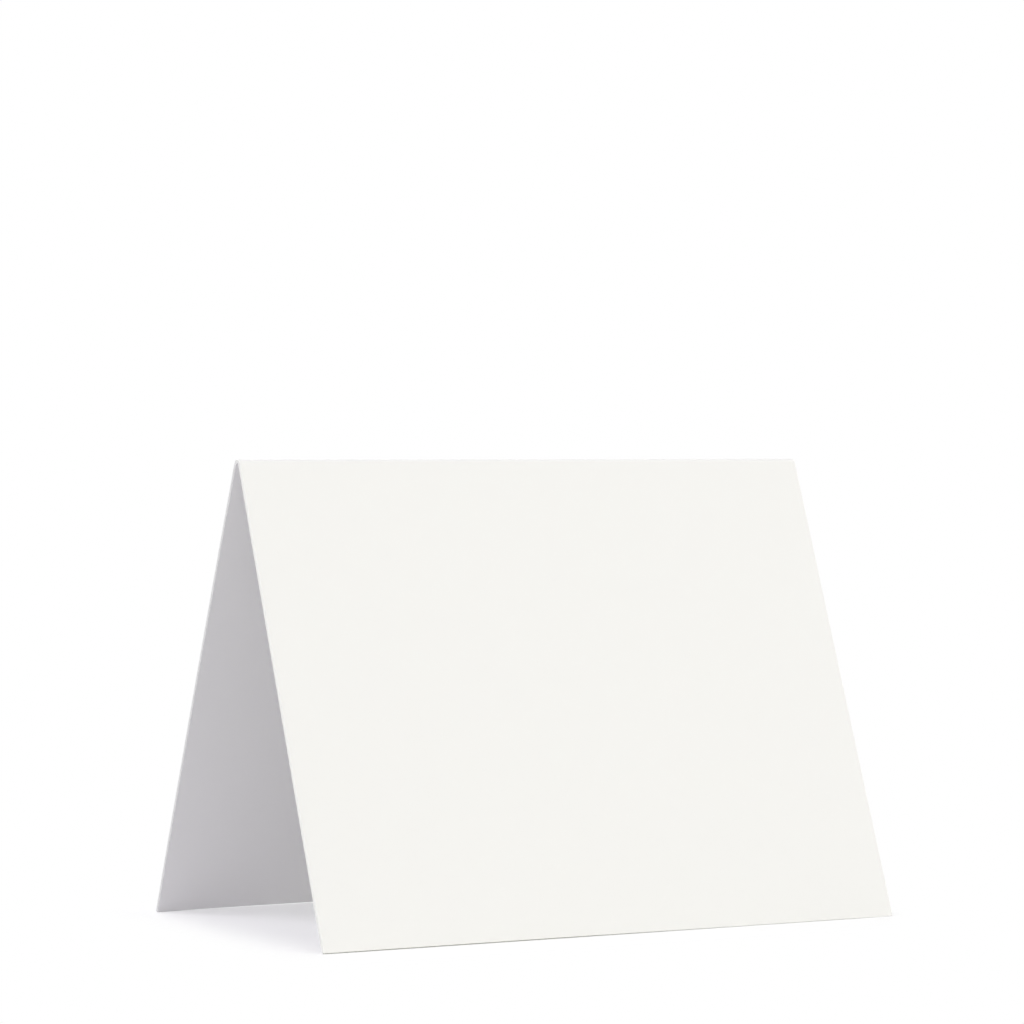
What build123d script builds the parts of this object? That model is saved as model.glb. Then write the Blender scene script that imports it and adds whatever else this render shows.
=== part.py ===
from build123d import *
import math
import os

# Greeting card: one sheet of heavy card stock, folded once across its middle and stood up as a tent.
# Millimetres, +Z up. The fold runs along X, the front leaf leans towards -Y and the back leaf towards +Y.
# The origin lies on the table, under the middle of the card.

# The sheet, cut square and lying flat
card_width = 139.7  # along the fold
sheet_length = 215.9  # across the fold, both leaves together
stock_thickness = 0.75

# The fold and how far the card stands open
fold_inner_radius = 0.65  # of the rounded crease, inside
opening_angle = 43.9  # between the two leaves, in degrees
back_leaf_bow = 0.3  # how far the back leaf's middle swells out from a straight line between its ends

# Worked out from them, along the middle of the stock, which neither stretches nor shrinks as it folds
half_stock = stock_thickness / 2
fold_middle_radius = fold_inner_radius + half_stock
lean = opening_angle / 2  # of each leaf from upright


def bowed_arc(length, bow):
    """The radius of an arc of this length whose middle stands this far off its chord, and its angle."""
    radius = length**2 / (8 * bow)
    return radius, math.degrees(length / radius)


def leaf_length_and_bow():
    """The length of each leaf, from the end of the fold's arc to its foot, with the back leaf's bow.

    The bowed leaf leaves the fold half its own angle further out than its chord does, so the fold turns
    through that much less. Leaf and fold share the sheet, and a second pass settles both.
    """
    fold_angle = 180 - opening_angle
    for _ in range(2):
        leaf_length = (sheet_length - fold_middle_radius * math.radians(fold_angle)) / 2
        bow_radius, bow_angle = bowed_arc(leaf_length, back_leaf_bow)
        fold_angle = 180 - opening_angle - bow_angle / 2
    return leaf_length, bow_radius, bow_angle


leaf_length, bow_radius, bow_angle = leaf_length_and_bow()
fold_start = lean + bow_angle / 2  # the direction in which the fold meets the back leaf, from level
fold_end = 180 - lean  # the direction in which it meets the straight front leaf


def sheet_line(outwards):
    """The line of the sheet in section, at this distance outwards from the middle of its stock.

    It is drawn about the fold's own centre, with the back leaf on the right: a shallow arc from the back
    foot up to the fold, the fold's round, and the straight front leaf down to its foot. Every arc keeps
    its centre as the line moves outwards, so the stock is equally thick all along.
    """
    fold = CenterArc((0, 0), fold_middle_radius + outwards, fold_start, fold_end - fold_start)
    back = JernArc(fold @ 0, -(fold % 0), bow_radius + outwards, -bow_angle)
    front = Line(fold @ 1, fold @ 1 + (fold % 1) * leaf_length)
    return back, fold, front


def folded_section():
    """The closed section of the sheet, both feet cut square to their leaf, standing on the table."""
    outer = sheet_line(half_stock)
    inner = sheet_line(-half_stock)
    outer_back_foot, inner_back_foot = outer[0] @ 1, inner[0] @ 1
    outer_front_foot, inner_front_foot = outer[2] @ 1, inner[2] @ 1
    back_cut = Line(outer_back_foot, inner_back_foot)
    front_cut = Line(outer_front_foot, inner_front_foot)
    section = make_face([*outer, *inner, back_cut, front_cut])

    # The card stands on the inner corners of its two feet
    across = inner_back_foot - inner_front_foot
    settle = Rot(Z=-math.degrees(math.atan2(across.Y, across.X)))
    feet_middle = (settle * Pos(outer_front_foot)).position + (settle * Pos(outer_back_foot)).position
    table = (settle * Pos(inner_front_foot)).position.Y
    return Pos(-feet_middle.X / 2, -table) * settle * section


def folded_card():
    """The whole card: its section run along the fold to both side edges."""
    return extrude(Plane.YZ * folded_section(), amount=card_width / 2, both=True)


os.makedirs("parts", exist_ok=True)
export_step(folded_card(), "parts/folded_card.step")
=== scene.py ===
"""A blank greeting card: one sheet of thick stock, folded once and stood up as a tent on a pale floor.

Metres, +Z up. The fold runs along X, the front leaf leans towards -Y and the back leaf towards +Y.
"""

import math

import bpy
import numpy as np
from bpy.props import FloatProperty, FloatVectorProperty, IntProperty, PointerProperty
from mathutils import Matrix, Vector


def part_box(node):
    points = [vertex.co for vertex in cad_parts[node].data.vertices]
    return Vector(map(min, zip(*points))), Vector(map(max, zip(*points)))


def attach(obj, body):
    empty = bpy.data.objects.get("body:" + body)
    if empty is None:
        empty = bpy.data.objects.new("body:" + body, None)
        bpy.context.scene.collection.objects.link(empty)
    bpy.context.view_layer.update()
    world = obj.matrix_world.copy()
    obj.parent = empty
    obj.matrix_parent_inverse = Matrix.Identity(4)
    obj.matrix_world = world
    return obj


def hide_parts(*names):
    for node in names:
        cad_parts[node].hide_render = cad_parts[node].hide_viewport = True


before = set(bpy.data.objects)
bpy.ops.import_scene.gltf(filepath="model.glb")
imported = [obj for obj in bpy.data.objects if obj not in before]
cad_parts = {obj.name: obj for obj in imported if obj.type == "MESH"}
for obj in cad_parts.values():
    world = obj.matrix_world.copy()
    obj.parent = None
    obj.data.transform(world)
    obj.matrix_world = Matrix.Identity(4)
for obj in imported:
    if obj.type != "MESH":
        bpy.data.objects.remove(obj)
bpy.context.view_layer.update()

bl_info = {
    "name": "Folded greeting card",
    "version": (1, 0, 0),
    "blender": (4, 5, 0),
    "location": "View3D > Sidebar > Greeting Card",
    "description": "A folded card of thick stock, with its floor, lamps and camera",
    "category": "Add Mesh",
}

MM = 0.001
SENSOR_WIDTH = 36 * MM
CARD_NODE = "folded_card"
STOCK_SLOT = "card_stock"
CARD_LOW, CARD_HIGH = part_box(CARD_NODE)
SHEET_ATTRIBUTE = "sheet_place"
CUT_ATTRIBUTE = "cut_edge"


def length(name, description, default):
    """A length in metres, shown in the scene's units."""
    return FloatProperty(name=name, description=description, default=default, subtype="DISTANCE",
                         unit="LENGTH", precision=5)


def angle(name, description, degrees):
    """An angle, given here in degrees and held in radians."""
    return FloatProperty(name=name, description=description, default=math.radians(degrees),
                         subtype="ANGLE", unit="ROTATION")


def share(name, description, default):
    """A plain factor from 0 to 1."""
    return FloatProperty(name=name, description=description, default=default, min=0, max=1,
                         subtype="FACTOR", precision=4)


def strength(name, description, default):
    """The strength of a light, 1 being a white that renders as white."""
    return FloatProperty(name=name, description=description, default=default, min=0, precision=4)


def colour(name, description, default):
    """A linear RGB colour."""
    return FloatVectorProperty(name=name, description=description, default=default, size=3,
                               subtype="COLOR", min=0, max=1)


class CardSheet(bpy.types.PropertyGroup):
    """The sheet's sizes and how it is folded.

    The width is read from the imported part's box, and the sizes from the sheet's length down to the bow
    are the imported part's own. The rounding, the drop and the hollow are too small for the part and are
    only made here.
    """

    card_width: length("Card width", "Size along the fold", CARD_HIGH.x - CARD_LOW.x)
    sheet_length: length("Sheet length", "Size across the fold, both leaves together, laid flat",
                         215.9 * MM)
    stock_thickness: length("Stock thickness", "Thickness of the sheet", 0.75 * MM)
    fold_inner_radius: length("Fold inner radius", "Radius of the crease inside", 0.65 * MM)
    opening_angle: angle("Opening angle", "Angle between the two leaves", 43.9)
    back_leaf_bow: length("Back leaf bow", "How far the back leaf's middle swells outwards", 0.3 * MM)
    edge_rounding: length("Edge rounding", "Radius left along the cut edges by the knife", 0.05 * MM)
    foot_drop: share("Foot drop", "How far the front foot's outer corner comes down to the table at the "
                     "card's right, as a share of its height", 0.72)
    foot_hollow: length("Foot hollow", "How far the back foot's edge clears the table between its corners",
                        0.25 * MM)
    leaf_cells: IntProperty(name="Leaf cells", description="Rows of faces down each leaf", default=60)
    fold_cells: IntProperty(name="Fold cells", description="Rows of faces round the fold", default=28)
    width_cells: IntProperty(name="Width cells", description="Columns of faces along the fold",
                             default=80)


class CardFinish(bpy.types.PropertyGroup):
    """The look of the uncoated stock, with painted shade on the back leaf's cut edges."""

    stock_colour: colour("Stock colour", "Warm white of the paper", (0.911, 0.911, 0.905))
    shade_colour: colour("Shade colour", "Paper where its fibres lie thinner", (0.906, 0.906, 0.900))
    front_cut_colour: colour("Front cut colour", "Paper on the front leaf's cut edges",
                             (0.833, 0.847, 0.798))
    # Partly painted shade: the same cut paper as the front leaf's, made darker to stand in for shade on
    # the back leaf's edges
    back_cut_colour_and_shade: colour("Back cut colour", "Paper on the back leaf's cut edges",
                            (0.648, 0.662, 0.634))
    roughness: share("Roughness", "Of the uncoated surface", 0.88)
    cloud_size: length("Cloud size", "Size of the faint clouds in the sheet", 7 * MM)
    tooth_size: length("Tooth size", "Size of the surface's fine grain", 0.45 * MM)
    tooth_depth: length("Tooth depth", "Height of the fine grain", 0.004 * MM)
    layer_size: length("Layer size", "Thickness of the layers that show on a cut edge", 0.11 * MM)
    layer_depth: length("Layer depth", "Height of those layers", 0.012 * MM)
    gloss: share("Gloss", "How strongly the surface mirrors what is round it", 0.35)


class CardStudio(bpy.types.PropertyGroup):
    """Floor, lamps and camera."""

    floor_size: length("Floor size", "Side of the square floor", 12.0)
    floor_colour: colour("Floor colour", "Floor as the card and the lamps see it", (0.86, 0.86, 0.86))
    floor_white: colour("Floor white", "Floor as the camera sees it", (0.988, 1.0, 0.987))
    floor_glow: strength("Floor glow", "Added to the floor's own shade where the camera sees it", 0.078)
    shade_aside: length("Shade aside", "Where the middle of the shade lies along the fold", -3 * MM)
    shade_side: length("Shade side", "From that middle to where the shade starts to fade", 58 * MM)
    shade_front: length("Shade front", "The same, across the fold", 36 * MM)
    shade_fade: length("Shade fade", "Over this length the floor fades to plain white", 22 * MM)
    sky: strength("Sky", "Even light from all round", 0.339)
    lamp_spread: angle("Lamp spread", "How wide each lamp looks from the card", 30)
    left_lamp: strength("Left lamp", "It also shines in between the leaves", 0.410)
    right_lamp: strength("Right lamp", "Low, to even out the front leaf", 0.474)
    back_lamp: strength("Back lamp", "On the back leaf", 0.170)
    rim_lamp: strength("Rim lamp", "High, on the left edges and the back leaf", 0.205)
    top_lamp: strength("Top lamp", "Straight down on the fold and the floor", 0.120)
    cool: colour("Cool", "Tint of the sky and of the left and rim lamps", (0.965, 0.935, 1.0))
    warm: colour("Warm", "Tint of the right lamp", (0.967, 1.0, 0.768))
    plain: colour("Plain", "Tint of the back and top lamps", (1.0, 1.0, 1.0))
    camera_lens: length("Camera lens", "Focal length on a 36 mm wide sensor", 144.033 * MM)
    camera_distance: length("Camera distance", "From the card's middle, along the floor", 898.64 * MM)
    camera_height: length("Camera height", "Above the floor", 107.535 * MM)
    camera_aside: length("Camera aside", "Where its line of sight crosses the fold", -3.197 * MM)
    camera_turn: angle("Camera turn", "How far it stands round to the card's left", 29.2458)
    camera_tilt: angle("Camera tilt", "How far it looks down", 1.2072)
    camera_roll: angle("Camera roll", "How far it leans about its line of sight", 0.1754)


class Number:
    """A shader socket that holds a number. Arithmetic on it adds Math nodes to its material."""

    def __init__(self, shading, socket):
        self.shading = shading
        self.socket = socket

    def math(self, operation, *operands):
        """The result of a Math node on these operands, which are Numbers or plain numbers."""
        made = self.shading.node("ShaderNodeMath", {"operation": operation}, dict(enumerate(operands)))
        return Number(self.shading, made.outputs[0])

    def __add__(self, other):
        return self.math("ADD", self, other)

    def __radd__(self, other):
        return self.math("ADD", other, self)

    def __sub__(self, other):
        return self.math("SUBTRACT", self, other)

    def __rsub__(self, other):
        return self.math("SUBTRACT", other, self)

    def __mul__(self, other):
        return self.math("MULTIPLY", self, other)

    def __rmul__(self, other):
        return self.math("MULTIPLY", other, self)

    def __abs__(self):
        return self.math("ABSOLUTE", self)

    def at_most(self, other):
        return self.math("MINIMUM", self, other)

    def at_least(self, other):
        return self.math("MAXIMUM", self, other)


class Shading:
    """A node tree being filled in: node() adds any node, number() wraps one of its outputs."""

    def __init__(self, owner):
        owner.use_nodes = True
        self.tree = owner.node_tree
        self.tree.nodes.clear()

    def node(self, kind, settings=None, sockets=None):
        """A node of this type, its settings first and then the values or links of its sockets."""
        made = self.tree.nodes.new(kind)
        for name, value in (settings or {}).items():
            setattr(made, name, value)
        for name, value in (sockets or {}).items():
            if isinstance(value, Number):
                value = value.socket
            if isinstance(value, bpy.types.NodeSocket):
                self.tree.links.new(value, made.inputs[name])
            else:
                made.inputs[name].default_value = value
        return made

    def number(self, node, output=0):
        """One of a node's outputs, ready for arithmetic."""
        return Number(self, node.outputs[output])

    def mix_colour(self, factor, first, second):
        """The colour between first and second, where 0 gives the first."""
        mixed = self.node("ShaderNodeMix", {"data_type": "RGBA"},
                          {"Factor": factor, "A": first, "B": second})
        return mixed.outputs["Result"]

    def scaled(self, vector, factors):
        """A vector times three factors, one for each axis."""
        product = self.node("ShaderNodeVectorMath", {"operation": "MULTIPLY"}, {0: vector, 1: factors})
        return product.outputs["Vector"]

    def falling(self, distance, start, end):
        """One up to the start distance, then falling smoothly to nothing at the end distance."""
        made = self.node("ShaderNodeMapRange", {"interpolation_type": "SMOOTHSTEP"},
                         {"Value": distance, "From Min": start, "From Max": end,
                          "To Min": 1.0, "To Max": 0.0})
        return self.number(made, "Result")

    def noise(self, vector, scale, detail=3.0, rough=0.5):
        """Smooth noise from 0 to 1 about 0.5, with this many waves to a unit of the vector."""
        made = self.node("ShaderNodeTexNoise", None,
                         {"Vector": vector, "Scale": scale, "Detail": detail, "Roughness": rough})
        return self.number(made, "Fac")

    def in_sight(self):
        """One where the camera looks, straight or by way of a mirror or glass, and nothing elsewhere."""
        rays = self.node("ShaderNodeLightPath")
        straight = self.number(rays, "Is Camera Ray")
        mirror = self.number(rays, "Is Glossy Ray")
        glass = self.number(rays, "Is Transmission Ray")
        return straight.at_least(mirror).at_least(glass)


def opaque(rgb):
    """A colour with an alpha of 1, as a shader's colour sockets take it."""
    return (*rgb, 1.0)


def paper_grain(shading, finish, place):
    """Clouds, tooth and fibres of the paper, each a noise from 0 to 1 over the flat sheet.

    The fibres are finer than the tooth and drawn out along the fold.
    """
    fibre_fineness = 2.2
    drawn_along_fold = (1.0, 0.28, 1.0)
    clouds = shading.noise(place, 1 / finish.cloud_size, detail=4.0, rough=0.6)
    tooth = shading.noise(place, 1 / finish.tooth_size, detail=5.0, rough=0.65)
    fibres = shading.noise(shading.scaled(place, drawn_along_fold), fibre_fineness / finish.tooth_size,
                           detail=2.0)
    return clouds, tooth, fibres


def face_colour(shading, finish, clouds, tooth, fibres):
    """The faces' colour. Where the weighted sum of the grain rises over a level, the paper is thinner."""
    cloud_weight, tooth_weight, fibre_weight = 1.6, 0.5, 0.3
    level = 0.7
    grain = clouds * cloud_weight + tooth * tooth_weight + fibres * fibre_weight
    thin = (grain - level).at_least(0.0).at_most(1.0)
    return shading.mix_colour(thin, opaque(finish.stock_colour), opaque(finish.shade_colour))


def cut_colour_and_back_shade(shading, finish, place):
    """The cut edges' colour, the front leaf's or the back leaf's, with a short blend over the fold. The
    back leaf's is the same cut paper made darker as painted shade.
    """
    blend_reach = 3 * MM
    across = shading.number(shading.node("ShaderNodeSeparateXYZ", None, {"Vector": place}), "X")
    on_front = shading.falling(across, -blend_reach, blend_reach)
    return shading.mix_colour(on_front, opaque(finish.back_cut_colour_and_shade), opaque(finish.front_cut_colour))


def stock_material(finish):
    """Uncoated paper: faint clouds and a fine tooth all over, and thin layers on its cut edges.

    The pattern follows the sheet, so it reads the place on the flat sheet that the mesh carries. Tooth
    and fibres stand up as a fine relief. The layers are drawn out in the sheet's plane, and they tint
    and roughen the cut edges alone. On the back leaf that tint is darkened as painted shade.
    """
    material = bpy.data.materials.new(STOCK_SLOT)
    shading = Shading(material)
    place_node = shading.node("ShaderNodeAttribute", {"attribute_name": SHEET_ATTRIBUTE})
    place = place_node.outputs["Vector"]
    cut = shading.number(shading.node("ShaderNodeAttribute", {"attribute_name": CUT_ATTRIBUTE}), "Fac")
    clouds, tooth, fibres = paper_grain(shading, finish, place)
    drawn_in_sheet = (0.06, 0.06, 1.0)
    layers = shading.noise(shading.scaled(place, drawn_in_sheet), 1 / finish.layer_size)

    least_tint, layer_tint = 0.55, 0.6
    tint = (cut * (least_tint + layers * layer_tint)).at_most(1.0)
    base = shading.mix_colour(tint, face_colour(shading, finish, clouds, tooth, fibres),
                              cut_colour_and_back_shade(shading, finish, place))

    tooth_share, fibre_share = 0.7, 0.5
    grain_height = (tooth * tooth_share + fibres * fibre_share) * finish.tooth_depth
    relief = grain_height + cut * layers * finish.layer_depth
    bump = shading.node("ShaderNodeBump", None, {"Height": relief, "Distance": 1.0})

    rougher_by_tooth, rougher_by_cut = 0.08, 0.06
    mean_roughness = finish.roughness - rougher_by_tooth / 2
    roughness = (mean_roughness + tooth * rougher_by_tooth + cut * rougher_by_cut).at_most(1.0)
    surface = shading.node("ShaderNodeBsdfPrincipled", None, {
        "Base Color": base, "Roughness": roughness, "Normal": bump.outputs["Normal"],
        "Specular IOR Level": finish.gloss})
    shading.node("ShaderNodeOutputMaterial", None, {"Surface": surface.outputs[0]})
    return material


def bowed_arc(arc_length, bow):
    """The radius and angle of an arc of this length whose middle stands this far off its chord.

    The radius is the length squared over eight bows, and the angle is the length over the radius.
    """
    radius = arc_length**2 / (8 * bow)
    return radius, arc_length / radius


class Fold:
    """How the flat sheet is bent: a round fold, a straight front leaf and a faintly bowed back leaf.

    A place on the sheet is (across, along, out): across the fold from its middle, negative on the
    front leaf; along the fold from the card's middle; and outwards from the middle of the stock.
    """

    def __init__(self, sheet):
        self.half_stock = sheet.stock_thickness / 2
        self.half_sheet = sheet.sheet_length / 2
        self.radius = sheet.fold_inner_radius + self.half_stock
        turn = math.pi - sheet.opening_angle
        # The bow takes a little of the fold's turn, so a second pass settles both
        for _ in range(2):
            leaf = (sheet.sheet_length - self.radius * turn) / 2
            self.bow_radius, bow_angle = bowed_arc(leaf, sheet.back_leaf_bow)
            turn = math.pi - sheet.opening_angle - bow_angle / 2
        self.half_arc = self.half_sheet - leaf
        back_angle = sheet.opening_angle / 2 + bow_angle / 2
        self.middle_angle = back_angle + turn / 2
        self.tilt = 0.0
        self.shift = np.zeros(2)
        self.settle()

    def section(self, across, out):
        """Y and Z of places on the sheet.

        The direction that faces outwards turns evenly round the fold, by the distance across over
        the fold's radius. On the front leaf it stays as it is and the place moves straight on. On
        the back leaf it goes on turning, by the distance over the bow's much larger radius, about a
        centre that keeps the line smooth. The whole is then turned and moved to stand on the table.
        """
        on_arc = np.clip(across, -self.half_arc, self.half_arc)
        facing = self.middle_angle - on_arc / self.radius
        beyond_front = np.minimum(across + self.half_arc, 0.0)
        beyond_back = np.maximum(across - self.half_arc, 0.0)
        bow_facing = facing - beyond_back / self.bow_radius
        lift = self.radius + out
        y = lift * np.cos(facing) + beyond_front * np.sin(facing)
        z = lift * np.sin(facing) - beyond_front * np.cos(facing)
        bow_lift = self.bow_radius + out
        centre = self.radius - self.bow_radius
        bow_y = centre * np.cos(facing) + bow_lift * np.cos(bow_facing)
        bow_z = centre * np.sin(facing) + bow_lift * np.sin(bow_facing)
        y = np.where(beyond_back > 0, bow_y, y)
        z = np.where(beyond_back > 0, bow_z, z)
        turned_y = y * math.cos(self.tilt) - z * math.sin(self.tilt)
        turned_z = y * math.sin(self.tilt) + z * math.cos(self.tilt)
        return turned_y + self.shift[0], turned_z + self.shift[1]

    def settle(self):
        """Turns and moves the section until it stands on its two inner foot corners, centred.

        The tilt undoes the slope from one inner corner to the other. The shift then brings both down to
        the table, and the two outer corners to the same distance from the middle.
        """
        feet = np.array([-self.half_sheet, self.half_sheet])
        inner_y, inner_z = self.section(feet, -self.half_stock)
        self.tilt = -math.atan2(inner_z[1] - inner_z[0], inner_y[1] - inner_y[0])
        outer_y, _ = self.section(feet, self.half_stock)
        _, table = self.section(feet, -self.half_stock)
        self.shift = np.array([-outer_y.mean(), -table.min()])


def ease(amount):
    """Nothing below 0 and one above 1, with a smooth rise between: three squares less two cubes."""
    amount = np.clip(amount, 0, 1)
    return amount**2 * (3 - 2 * amount)


def hollowed_foot(sheet, fold, across, along):
    """The distance across the sheet, with the back foot's edge drawn in between its two corners.

    The edge is drawn in by the hollow times one less the sixth power of the share of the way to a
    corner. The rows above it follow less and less, and those beyond the last centimetre stay.
    """
    following = 10 * MM
    flatness = 6
    follow = np.clip(1 - (fold.half_sheet - across) / following, 0, 1)
    to_corner = np.minimum(np.abs(along) / (sheet.card_width / 2), 1)
    return across - sheet.foot_hollow * (1 - to_corner**flatness) * follow


def lowered_foot(sheet, fold, across, along, out, height):
    """The height of places, with the front foot's outer corner let down towards the table.

    A square-cut foot stands on its inner corner, and its outer corner is higher by the stock's
    thickness times the sine of the leaf's lean. Each place comes down by that height times its share of
    the way out through the stock and the drop, which starts small at the card's left and grows smoothly
    to the right. The last two millimetres of the leaf follow, so the sheet is only a little pressed.
    """
    following = 2 * MM
    least_drop = 0.22
    growing_from, growing_over = -25 * MM, 62 * MM
    follow = np.clip(1 - (across + fold.half_sheet) / following, 0, 1)
    drop = least_drop + (sheet.foot_drop - least_drop) * ease((along - growing_from) / growing_over)
    outer_height = sheet.stock_thickness * math.sin(sheet.opening_angle / 2)
    outwards = np.clip(0.5 + out / sheet.stock_thickness, 0, 1)
    return height - outer_height * outwards * drop * follow


def stations(start, end, cells, margin):
    """Places from start to end: even cells, with one narrow cell at each end to keep edges crisp."""
    inner = np.linspace(start + margin, end - margin, cells + 1)
    return np.concatenate([[start], inner, [end]])


def sheet_stations(sheet, fold):
    """Places of the grid's rows across the sheet and of its columns along the fold.

    They end where the rounding of the cut edges starts.
    """
    edge_cell = 3 * sheet.edge_rounding
    foot = fold.half_sheet - sheet.edge_rounding
    side = sheet.card_width / 2 - sheet.edge_rounding
    rows = np.concatenate([
        stations(-foot, -fold.half_arc, sheet.leaf_cells, edge_cell),
        np.linspace(-fold.half_arc, fold.half_arc, sheet.fold_cells + 1)[1:-1],
        stations(fold.half_arc, foot, sheet.leaf_cells, edge_cell),
    ])
    columns = stations(-side, side, sheet.width_cells, edge_cell)
    return rows, columns


def rim_profile(rounding, half_stock):
    """How far the rim's points reach past the border, and how far out from the stock's middle they lie.

    The profile goes round a quarter circle, straight down the cut and round another quarter circle. Its
    two ends are points of the faces and are left out. Both results are columns, one row to a ring.
    """
    corner_cells, cut_cells = 4, 6
    quarter = np.linspace(0, math.pi / 2, corner_cells + 1)
    cut_half = half_stock - rounding
    down = np.linspace(cut_half, -cut_half, cut_cells + 1)[1:-1]
    reach = rounding * np.concatenate([np.sin(quarter), np.ones(len(down)), np.cos(quarter)])
    out = np.concatenate([cut_half + rounding * np.cos(quarter), down,
                          -cut_half - rounding * np.sin(quarter)])
    return reach[1:-1, None], out[1:-1, None]


def past_edge(place, edge):
    """Which way leads out of the sheet: -1 and 1 for places on its two edges, and 0 between them."""
    return np.where(np.isclose(np.abs(place), edge), np.sign(place), 0.0)


def flat_places(sheet, fold, rows, columns, border):
    """The places (across, along, out) of all points: outer face, inner face and the rings of the rim.

    Each point of the rim is its border point moved straight out of the sheet by the rim's profile.
    """
    face_across, face_along = (place.ravel() for place in np.meshgrid(rows, columns, indexing="ij"))
    border_across, border_along = face_across[border], face_along[border]
    reach, rim_out = rim_profile(sheet.edge_rounding, fold.half_stock)
    rim_across = border_across + reach * past_edge(border_across, rows[-1])
    rim_along = border_along + reach * past_edge(border_along, columns[-1])
    face_out = np.full(len(face_across), fold.half_stock)
    rim_out = np.broadcast_to(rim_out, rim_across.shape)
    return (np.concatenate([face_across, face_across, rim_across.ravel()]),
            np.concatenate([face_along, face_along, rim_along.ravel()]),
            np.concatenate([face_out, -face_out, rim_out.ravel()]))


def skin_faces(grid, border, rings):
    """The faces, four corners each: the outer grid, the inner grid turned over, and the rim's bands."""
    low, high = grid[:-1], grid[1:]
    outer = np.stack([low[:, :-1], low[:, 1:], high[:, 1:], high[:, :-1]], axis=-1).reshape(-1, 4)
    inner = outer[:, ::-1] + grid.size
    rim = 2 * grid.size + np.arange(rings * len(border)).reshape(rings, len(border))
    ring = np.concatenate([border[None], rim, border[None] + grid.size])
    after = np.roll(ring, -1, axis=1)
    bands = np.stack([ring[:-1], ring[1:], after[1:], after[:-1]], axis=-1).reshape(-1, 4)
    return np.concatenate([outer, inner, bands])


def card_mesh(sheet, fold):
    """The sheet as one closed skin, with its place on the flat sheet kept at each point.

    Two grids cover the outer and the inner face, and the rim closes the skin between their borders.
    All points are placed on the flat sheet first and then bent by the fold's section.
    """
    rows, columns = sheet_stations(sheet, fold)
    grid = np.arange(len(rows) * len(columns)).reshape(len(rows), len(columns))
    border = np.concatenate([grid[0, :-1], grid[:-1, -1], grid[-1, :0:-1], grid[:0:-1, 0]])
    across, along, out = flat_places(sheet, fold, rows, columns, border)
    across = hollowed_foot(sheet, fold, across, along)
    y, z = fold.section(across, out)
    z = lowered_foot(sheet, fold, across, along, out, z)

    rim_start = 2 * grid.size
    rings = (len(across) - rim_start) // len(border)
    mesh = bpy.data.meshes.new(CARD_NODE)
    mesh.from_pydata(np.column_stack([along, y, z]), [], skin_faces(grid, border, rings))
    places = mesh.attributes.new(SHEET_ATTRIBUTE, "FLOAT_VECTOR", "POINT")
    places.data.foreach_set("vector", np.column_stack([across, along, out]).ravel())
    on_cut = np.zeros(len(across))
    on_cut[rim_start:] = 1.0
    mesh.attributes.new(CUT_ATTRIBUTE, "FLOAT", "POINT").data.foreach_set("value", on_cut)
    mesh.shade_smooth()
    if mesh.validate():
        raise RuntimeError("the card's mesh has faulty faces")
    return mesh


class CARD_OT_folded_card(bpy.types.Operator):
    """Fold the sheet into a standing card and give it its paper finish"""

    bl_idname = "greeting_card.folded_card"
    bl_label = "Folded card"

    def execute(self, context):
        sheet = context.scene.card_sheet
        fold = Fold(sheet)
        card = bpy.data.objects.new("card", card_mesh(sheet, fold))
        context.scene.collection.objects.link(card)
        card.data.materials.append(stock_material(context.scene.card_finish))
        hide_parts(CARD_NODE)
        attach(card, "root")
        return {"FINISHED"}


def floor_material(studio):
    """A white floor, on which the camera sees the card's shade close by and plain white further off."""
    material = bpy.data.materials.new("floor")
    shading = Shading(material)
    plain = shading.node("ShaderNodeBsdfDiffuse", None, {"Color": opaque(studio.floor_colour)})
    glow = shading.node("ShaderNodeEmission", None,
                        {"Color": (1, 1, 1, 1), "Strength": studio.floor_glow})
    white = shading.node("ShaderNodeBsdfDiffuse", None, {"Color": opaque(studio.floor_white)})
    bright = shading.node("ShaderNodeAddShader", None, {0: white.outputs[0], 1: glow.outputs[0]})
    place = shading.node("ShaderNodeTexCoord").outputs["Object"]
    axes = shading.node("ShaderNodeSeparateXYZ", None, {"Vector": place})
    near_side = shading.falling(abs(shading.number(axes, "X") - studio.shade_aside), studio.shade_side,
                                studio.shade_side + studio.shade_fade)
    near_front = shading.falling(abs(shading.number(axes, "Y")), studio.shade_front,
                                 studio.shade_front + studio.shade_fade)
    far = shading.node("ShaderNodeEmission", None, {"Color": (1, 1, 1, 1), "Strength": 1.0})
    look = shading.node("ShaderNodeMixShader", None,
                        {"Fac": near_side * near_front, 1: far.outputs[0], 2: bright.outputs[0]})
    surface = shading.node("ShaderNodeMixShader", None,
                           {"Fac": shading.in_sight(), 1: plain.outputs[0], 2: look.outputs[0]})
    shading.node("ShaderNodeOutputMaterial", None, {"Surface": surface.outputs[0]})
    return material


def make_floor(context, studio):
    """One large square on the table's level."""
    half = studio.floor_size / 2
    corners = [(-half, -half, 0), (half, -half, 0), (half, half, 0), (-half, half, 0)]
    mesh = bpy.data.meshes.new("floor")
    mesh.from_pydata(corners, [], [(0, 1, 2, 3)])
    mesh.materials.append(floor_material(studio))
    floor = bpy.data.objects.new("floor", mesh)
    context.scene.collection.objects.link(floor)


def make_sky(context, studio):
    """Even light from all round, which the camera sees as white."""
    world = bpy.data.worlds.new("studio")
    context.scene.world = world
    shading = Shading(world)
    light = shading.node("ShaderNodeBackground", None,
                         {"Color": opaque(studio.cool), "Strength": studio.sky})
    white = shading.node("ShaderNodeBackground", None, {"Color": (1, 1, 1, 1), "Strength": 1.0})
    surface = shading.node("ShaderNodeMixShader", None,
                           {"Fac": shading.in_sight(), 1: light.outputs[0], 2: white.outputs[0]})
    shading.node("ShaderNodeOutputWorld", None, {"Surface": surface.outputs[0]})


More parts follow.
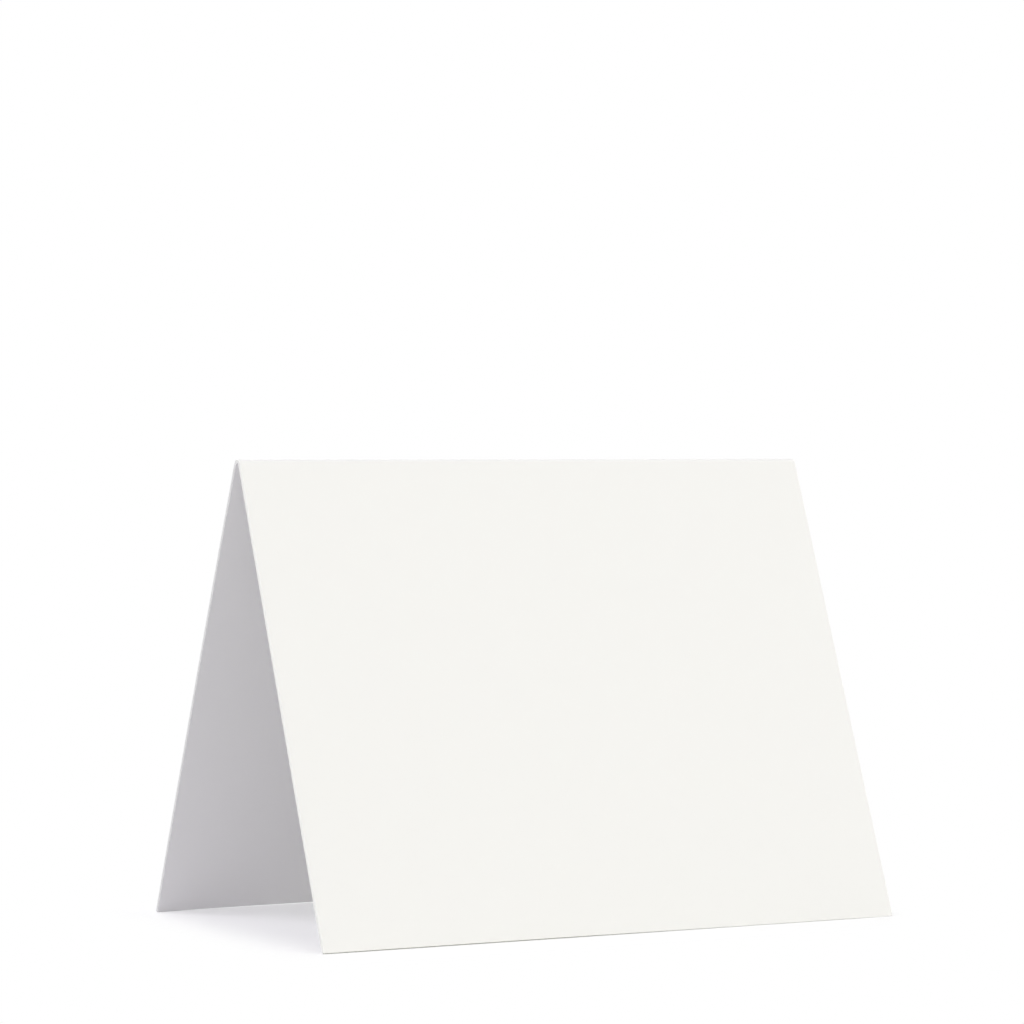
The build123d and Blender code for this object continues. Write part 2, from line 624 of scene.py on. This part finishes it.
def make_lamp(context, name, brightness, tint, turn, height):
    """A wide, soft and distant lamp. Its energy is its brightness times pi.

    A brightness of 1 makes a white face that looks at it white. It hangs this turn round from the
    front, less than nothing towards the card's left, and at this height above the floor, both in
    degrees.
    """
    lamp = bpy.data.lights.new(name, "SUN")
    lamp.angle = context.scene.card_studio.lamp_spread
    lamp.energy = brightness * math.pi
    lamp.color = tint
    turn, height = math.radians(turn), math.radians(height)
    level = Vector((math.sin(turn), -math.cos(turn), 0))
    place = level * math.cos(height) + Vector((0, 0, math.sin(height)))
    holder = bpy.data.objects.new(name, lamp)
    holder.rotation_mode = "QUATERNION"
    holder.rotation_quaternion = place.to_track_quat("Z", "Y")
    context.scene.collection.objects.link(holder)


def make_camera(context, studio):
    """The camera, with its line of sight set by a turn, a tilt and a roll.

    It stands back from the card along the floor, looks level and down by the tilt, and then leans by the
    roll, which turns its right and upright directions about its line of sight.
    """
    level = Vector((math.sin(studio.camera_turn), math.cos(studio.camera_turn), 0))
    right = Vector((math.cos(studio.camera_turn), -math.sin(studio.camera_turn), 0))
    up = Vector((0, 0, 1))
    ahead = level * math.cos(studio.camera_tilt) - up * math.sin(studio.camera_tilt)
    upright = up * math.cos(studio.camera_tilt) + level * math.sin(studio.camera_tilt)
    rolled_right = right * math.cos(studio.camera_roll) + upright * math.sin(studio.camera_roll)
    rolled_up = upright * math.cos(studio.camera_roll) - right * math.sin(studio.camera_roll)
    place = Vector((studio.camera_aside, 0, studio.camera_height)) - level * studio.camera_distance
    data = bpy.data.cameras.new("camera")
    data.sensor_fit = "HORIZONTAL"
    data.sensor_width = SENSOR_WIDTH / MM
    data.lens = studio.camera_lens / MM
    data.clip_start = 0.01
    data.clip_end = 100
    camera = bpy.data.objects.new("camera", data)
    turned = Matrix((rolled_right, rolled_up, -ahead)).transposed().to_4x4()
    camera.matrix_world = Matrix.Translation(place) @ turned
    context.scene.collection.objects.link(camera)
    context.scene.camera = camera


class CARD_OT_studio(bpy.types.Operator):
    """Lay the floor, hang the lamps and set up the camera"""

    bl_idname = "greeting_card.studio"
    bl_label = "Studio"

    def execute(self, context):
        studio = context.scene.card_studio
        make_floor(context, studio)
        make_sky(context, studio)
        make_camera(context, studio)
        make_lamp(context, "left_lamp", studio.left_lamp, studio.cool, turn=-65, height=30)
        make_lamp(context, "right_lamp", studio.right_lamp, studio.warm, turn=45, height=8)
        make_lamp(context, "back_lamp", studio.back_lamp, studio.plain, turn=165, height=35)
        make_lamp(context, "rim_lamp", studio.rim_lamp, studio.cool, turn=-120, height=45)
        make_lamp(context, "top_lamp", studio.top_lamp, studio.plain, turn=0, height=90)
        context.scene.view_settings.view_transform = "Standard"
        return {"FINISHED"}


class CARD_PT_card(bpy.types.Panel):
    """The card's and the studio's settings"""

    bl_idname = "CARD_PT_card"
    bl_label = "Greeting Card"
    bl_space_type = "VIEW_3D"
    bl_region_type = "UI"
    bl_category = "Greeting Card"

    def draw(self, context):
        groups = (
            (CARD_OT_folded_card, context.scene.card_sheet),
            (None, context.scene.card_finish),
            (CARD_OT_studio, context.scene.card_studio),
        )
        for operator, settings in groups:
            box = self.layout.box()
            for name in type(settings).__annotations__:
                box.prop(settings, name)
            if operator:
                box.operator(operator.bl_idname)


SETTINGS = {"card_sheet": CardSheet, "card_finish": CardFinish, "card_studio": CardStudio}
CLASSES = (*SETTINGS.values(), CARD_OT_folded_card, CARD_OT_studio, CARD_PT_card)


def register():
    for cls in CLASSES:
        bpy.utils.register_class(cls)
    for name, group in SETTINGS.items():
        setattr(bpy.types.Scene, name, PointerProperty(type=group))


def unregister():
    for name in SETTINGS:
        delattr(bpy.types.Scene, name)
    for cls in reversed(CLASSES):
        bpy.utils.unregister_class(cls)


def main():
    """Registers the classes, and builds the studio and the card."""
    register()
    bpy.ops.greeting_card.studio()
    bpy.ops.greeting_card.folded_card()


if __name__ == "__main__":
    main()
